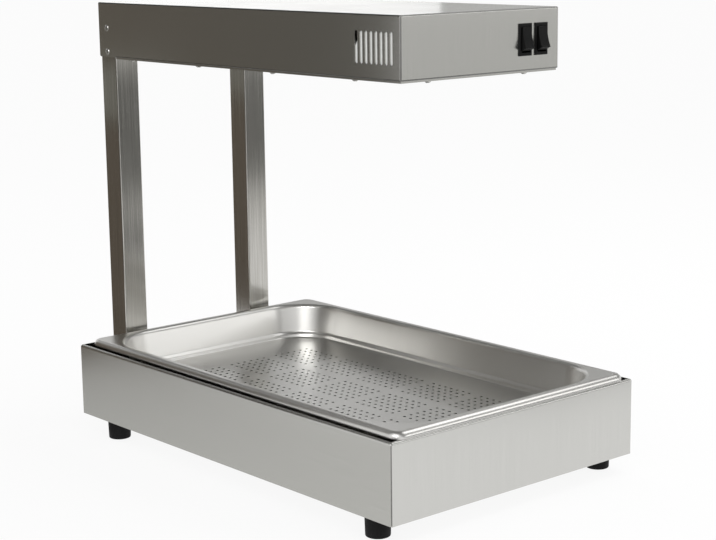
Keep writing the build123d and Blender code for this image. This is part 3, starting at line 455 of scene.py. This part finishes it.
table_size, table_glow_share = 80.0, 0.88
bpy.ops.object.select_all(action="DESELECT")
bpy.ops.mesh.primitive_plane_add(size=table_size, location=(0, 0, 0))
floor = bpy.context.object
floor.name = "floor"
white_table, table_tree, table_output = start_material("white_table_top")
table_light = add(table_tree, "ShaderNodeLightPath", {}, {})
table_matt = add(table_tree, "ShaderNodeBsdfDiffuse", {}, {"Color": linear("#F6F6F6")})
table_glow = add(table_tree, "ShaderNodeEmission", {}, {"Color": linear("#FFFFFF"), "Strength": 1.0})
table_seen = add(table_tree, "ShaderNodeMath", {"operation": "MAXIMUM"},
                 {0: table_light.outputs["Is Camera Ray"], 1: table_light.outputs["Is Glossy Ray"]})
table_shown = add(table_tree, "ShaderNodeMath", {"operation": "MAXIMUM"},
                  {0: table_seen.outputs[0], 1: table_light.outputs["Is Transmission Ray"]})
table_share = add(table_tree, "ShaderNodeMath", {"operation": "MULTIPLY"},
                  {0: table_shown.outputs[0], 1: table_glow_share})
table_mix = add(table_tree, "ShaderNodeMixShader", {},
                {0: table_share.outputs[0], 1: table_matt.outputs[0], 2: table_glow.outputs[0]})
table_tree.links.new(table_mix.outputs[0], table_output.inputs["Surface"])
floor.data.materials.append(white_table)


# Studio cards. Grey and white card stood or laid round the table, lit from within. They show only in the
# steel, which is as bright as what it mirrors.

def flag(name, glow, far_glow, strength, width, height, centre, turns):
    """A card that only the metal sees, shaded from one end to the other, with its middle at a place in
    metres and its turns in degrees."""
    bpy.ops.object.select_all(action="DESELECT")
    bpy.ops.mesh.primitive_plane_add(size=1.0, location=centre,
                                     rotation=[math.radians(a) for a in turns])
    panel = bpy.context.object
    panel.name = name
    panel.scale = (width, height, 1)
    paper, tree, output = start_material(f"{name}_paper")
    place = add(tree, "ShaderNodeTexCoord", {}, {})
    axes = add(tree, "ShaderNodeSeparateXYZ", {}, {"Vector": place.outputs["Object"]})
    along = add(tree, "ShaderNodeMapRange", {},
                {"Value": axes.outputs["X"], "From Min": -0.5, "From Max": 0.5})
    shade = add(tree, "ShaderNodeMix", {"data_type": "RGBA"},
                {0: along.outputs[0], 6: linear(glow), 7: linear(far_glow)})
    grey = add(tree, "ShaderNodeEmission", {}, {"Color": shade.outputs[2], "Strength": strength})
    tree.links.new(grey.outputs[0], output.inputs["Surface"])
    panel.data.materials.append(paper)
    panel.visible_camera = panel.visible_diffuse = panel.visible_shadow = False
    panel.visible_transmission = panel.visible_volume_scatter = False


# Each card: name, colours of its two ends, strength, width, height, middle and turns
# On the left: dark behind the left sides of hood and posts, and a pale table beside the base
flag("hood_flag", "#66645F", "#685D50", 1.0, 1.6, 0.30, (-0.42, 0.88, 0.43), (90, 0, 90))
flag("post_flag", "#6A6259", "#6A6259", 1.0, 1.2, 0.28, (-0.42, 1.05, 0.14), (90, 0, 90))
flag("post_top_flag", "#86857F", "#86857F", 1.0, 0.5, 0.08, (-0.415, 0.85, 0.34), (90, 0, 90))
flag("post_floor_flag", "#635B52", "#635B52", 1.0, 0.67, 1.32, (-0.515, 1.19, 0.002), (0, 0, 0))
flag("left_table", "#DEDEDC", "#BEBEBC", 1.0, 0.88, 0.32, (-0.34, 0.09, 0.002), (0, 0, 90))
flag("camera_wall", "#3A3A39", "#3A3A39", 1.0, 1.9, 0.28, (-1.65, -0.90, 0.14), (90, 0, -46))
flag("rim_flag", "#605D59", "#605D59", 1.0, 0.33, 0.18, (-0.42, 0.285, 0.19), (90, 0, 90))
flag("left_upper_flag", "#5D5D5C", "#5D5D5C", 1.0, 1.7, 0.9, (-0.6, 1.05, 1.05), (90, 0, 90))
# At the front and right: what the fronts of hood, posts and base and the pan's rear wall mirror
flag("front_wall_left", "#757574", "#757574", 1.0, 2.35, 1.35, (1.65, -4.06, 1.275), (90, 0, 38))
flag("front_wall_right", "#DCDCDA", "#DCDCDA", 1.0, 2.15, 1.35, (3.43, -2.68, 1.275), (90, 0, 38))
flag("table_end", "#6C6C6A", "#6C6C6A", 1.0, 5.2, 5.9, (2.85, -3.69, 0.002), (0, 0, 0))
flag("table_shade", "#7C7C7A", "#7C7C7A", 1.0, 0.40, 0.16, (0.45, -0.66, 0.004), (0, 0, 0))
flag("table_patch", "#E6E6E4", "#E6E6E4", 1.0, 0.9, 0.42, (1.15, -0.95, 0.004), (0, 0, 0))
flag("grey_stand", "#A4A4A2", "#A4A4A2", 1.0, 0.28, 0.5, (1.73, -1.20, 0.37), (90, 0, 41))
flag("front_card", "#CECECC", "#CECECC", 1.0, 0.9, 0.17, (0.35, -0.6, 0.425), (90, 0, 0))
# Behind, for the pan's floor and rim and the hood's top
flag("back_flag", "#8A8A88", "#8A8A88", 1.0, 1.8, 0.43, (0.93, 1.17, 0.215), (90, 0, -38))
flag("back_upper_flag", "#8C8C8A", "#8C8C8A", 1.0, 2.6, 0.8, (3.53, 1.88, 1.60), (90, 0, 118))
flag("back_glow", "#FFFFFF", "#FFFFFF", 1.7, 4.0, 0.3, (1.85, 2.36, 0.65), (90, 0, 142))
flag("rim_card", "#C6C6C4", "#C6C6C4", 1.0, 0.55, 0.46, (0.55, 0.13, 0.63), (90, 0, 90))
# High on the left: the bright spot in the pan's rear corner. Above: a grey ceiling
flag("corner_card", "#FFFFFF", "#FFFFFF", 6.4, 1.4, 0.72, (-1.64, -0.81, 1.52), (90, 0, -60))
flag("ceiling", "#757574", "#757574", 1.0, 6.6, 8.0, (2.7, -0.8, 1.9), (0, 0, 0))


# Light. A white room and three soft lamps: a large one overhead, a low one at the front right and a weak
# one beside the camera.

def softbox(name, power, width, height, place, target):
    """A soft lamp, aimed at a point."""
    bpy.ops.object.light_add(type="AREA", location=place)
    light = bpy.context.object
    light.name = name
    light.data.shape = "RECTANGLE"
    light.data.energy = power
    light.data.size = width
    light.data.size_y = height
    light.rotation_euler = (light.location - Vector(target)).to_track_quat("Z", "Y").to_euler()
    light.visible_camera = False


softbox("overhead_softbox", power=12.0, width=1.4, height=1.4,
        place=(1.0, -0.4, 1.8), target=(0.1, -0.1, 0.2))
softbox("front_softbox", power=4.0, width=1.2, height=0.6,
        place=(1.5, -2.0, 0.60), target=(0, 0.1, 0.1))
softbox("camera_softbox", power=3.0, width=1.0, height=0.5,
        place=(-1.69, -1.20, 0.65), target=(0, 0, 0.2))

room_strength, room_shown_strength = 0.8, 1.0
room = bpy.data.worlds.new("white_room")
bpy.context.scene.world = room
room.use_nodes = True
room_tree = room.node_tree
room_tree.nodes.clear()
room_output = add(room_tree, "ShaderNodeOutputWorld", {}, {})
room_light = add(room_tree, "ShaderNodeLightPath", {}, {})
room_seen = add(room_tree, "ShaderNodeMath", {"operation": "MAXIMUM"},
                {0: room_light.outputs["Is Camera Ray"], 1: room_light.outputs["Is Glossy Ray"]})
room_shown = add(room_tree, "ShaderNodeMath", {"operation": "MAXIMUM"},
                 {0: room_seen.outputs[0], 1: room_light.outputs["Is Transmission Ray"]})
room_level = add(room_tree, "ShaderNodeMapRange", {},
                 {"Value": room_shown.outputs[0],
                  "To Min": room_strength, "To Max": room_shown_strength})
room_glow = add(room_tree, "ShaderNodeBackground", {},
                {"Color": linear("#FFFFFF"), "Strength": room_level.outputs[0]})
room_tree.links.new(room_glow.outputs[0], room_output.inputs["Surface"])


# Camera. At the photograph's viewing angle, in front and to the left, a little above the hood, with a
# long lens. The plain view transform shows colours as they are written.

camera_place, camera_turns = (-1.19693, -1.43473, 0.57190), (78.7934, 0.7246, -40.8494)
bpy.ops.object.camera_add(location=camera_place, rotation=[math.radians(a) for a in camera_turns])
camera = bpy.context.object
camera.data.sensor_width = 36.0
camera.data.lens = 86.74
camera.data.clip_end = 100.0
bpy.context.scene.camera = camera
bpy.context.scene.view_settings.view_transform = "Standard"
